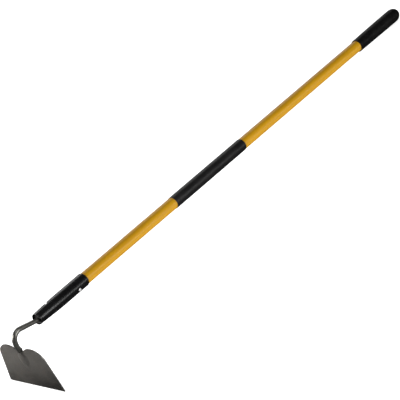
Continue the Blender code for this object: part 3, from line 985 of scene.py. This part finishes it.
def woodFinish():
    m = dowel
    material, net, shader, place = finish("dowelWood", {"IOR": 1.45})
    x, y, z = net.axes(place)
    waver = net.grain(place, 40.0, 2.0, 0.5, stretch=(0.15, 1, 1))
    across = ((y - m["heart"][0]) ** 2.0 + (z - m["heart"][1]) ** 2.0) ** 0.5 + waver * 0.002
    growth = rings(net, across, m["ringWidth"])
    fibre = net.grain(place, 900.0, 3.0, 0.6, stretch=(0.03, 1, 1)).step(0.3, 0.7)
    colour = net.blend(growth, m["early"], m["late"])
    colour = net.blend(fibre * 0.4, colour, m["fibre"])
    feed(
        net, shader, colour=colour, roughness=m["roughness"] + fibre * 0.15,
        normal=bump(net, fibre + growth * 0.4, m["bump"]),
    )
    return material


def plasticFinish():
    m = moulded
    material, net, shader, place = finish("darkPlastic", {"IOR": 1.48})
    x, y, z = net.axes(place)
    lines = rings(net, (y ** 2.0 + z ** 2.0) ** 0.5, m["lineWidth"])
    skin = net.grain(place, 800.0, 3.0, 0.5)
    cloud = net.grain(place, 120.0, 3.0, 0.55).step(0.35, 0.7)
    feed(
        net, shader, colour=net.blend(cloud, m["dark"], m["light"]),
        roughness=m["roughness"] + cloud * 0.12,
        normal=bump(net, lines * 0.5 + skin * 0.5, m["bump"], 0.6),
    )
    return material


bushing = {
    "start": 0.0032, "lip": 0.0006, "dish": 0.0012,
    "rowStep": 0.0005, "firstRow": 9, "faceSteps": 8, "sides": 96,
}


def makeBushing(material):  # fills the nose round the tang, a little below the ferrule's lip
    b = bushing
    end = tube["start"] - fitGap
    steps = [b["rowStep"] * i for i in range(b["firstRow"], int(end / b["rowStep"]))]
    steps = [b["start"] + b["lip"]] + steps + [end]
    outside = [(x, ferruleRadius(x) - ferrule["wall"] - fitGap) for x in steps]
    width = outside[0][1] - b["lip"]
    face = []
    for i in range(b["faceSteps"] + 1):
        out = i / b["faceSteps"]
        face.append((b["start"] + b["dish"] * (1 - out ** 2), width * out))
    bm = turned(face + outside + [(end, 0)], b["sides"], closed=False)
    pressCrimps(bm)
    return carve(addPiece("tangBushing", bm, toolFrame), makeNeck(material, fitGap))


def refinish(node, material):  # a sealed-in part keeps its shape and gets its own finish
    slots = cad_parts[node].data.materials
    slots.clear()
    slots.append(material)
    print("refinished", node)


darkPlastic = plasticFinish()
seat(makeBushing(darkPlastic), darkPlastic, "dark_plastic", "tang_bushing")
refinish("butt_plug", darkPlastic)
refinish("handle_core", woodFinish())


studio = {
    "floorSize": 24.0, "floorCells": 8, "floorGap": 0.0002, "floorColour": (0.86, 0.86, 0.86),
    "floorGlow": 0.76, "sky": 0.05,
    "lights": {  # place, target, width, height, watts
        "overhead": ((-0.55, -0.8, 3.0), (-0.4, 0, 0), 1.7, 2.4, 27),
        "nearSide": ((0.1, -3.2, 0.74), (0.2, 0, 0), 1.9, 1.2, 92),
        "leftKey": ((-2.4, 2.5, 1.1), (-0.6, 0, 0), 1.5, 1.2, 165),
        "farBand": ((2.6, 2.9, 1.9), (0, 0, 0), 3.2, 2.0, 32),
        "lowStrip": ((2.4, -3.2, 0.13), (0, 0, 0.1), 2.2, 0.24, 9),
    },
}


def paleFinish():
    constants = {
        "Roughness": 0.9, "Emission Color": (1, 1, 1, 1), "Emission Strength": studio["floorGlow"],
    }
    material, net, shader, place = finish("paleFloor", constants, Matrix.Identity(4))
    cloud = net.grain(place, 1.4, 3.0, 0.5)
    lift = tuple(min(value * 1.02, 1) for value in studio["floorColour"])
    feed(net, shader, colour=net.blend(cloud, studio["floorColour"], lift))
    return material


def makeFloor():
    half = studio["floorSize"] / 2
    bm = bmesh.new()
    cells = studio["floorCells"]
    bmesh.ops.create_grid(bm, x_segments=cells, y_segments=cells, size=half)
    mesh = bpy.data.meshes.new("paleFloor")
    bm.to_mesh(mesh)
    bm.free()
    mesh.materials.append(paleFinish())
    mesh.transform(Matrix.Translation((0, 0, cadLow.z - studio["floorGap"])))
    floor = bpy.data.objects.new("paleFloor", mesh)
    scene.collection.objects.link(floor)
    floor.visible_glossy = False  # so that the dark gloss stays dark


def makeLights():
    for name, (spot, target, width, height, watts) in studio["lights"].items():
        data = bpy.data.lights.new(name, "AREA")
        data.shape, data.size, data.size_y, data.energy = "RECTANGLE", width, height, watts
        obj = bpy.data.objects.new(name, data)
        obj.location = spot
        aim = Vector(target) - Vector(spot)
        obj.rotation_euler = aim.to_track_quat("-Z", "Y").to_euler()
        scene.collection.objects.link(obj)
    world = bpy.data.worlds.new("softStudio")
    world.use_nodes = True
    sky = world.node_tree.nodes["Background"]
    sky.inputs["Color"].default_value = (1, 1, 1, 1)
    sky.inputs["Strength"].default_value = studio["sky"]
    scene.world = world
    scene.view_settings.view_transform = "Standard"


makeFloor()
makeLights()
print("studio set")
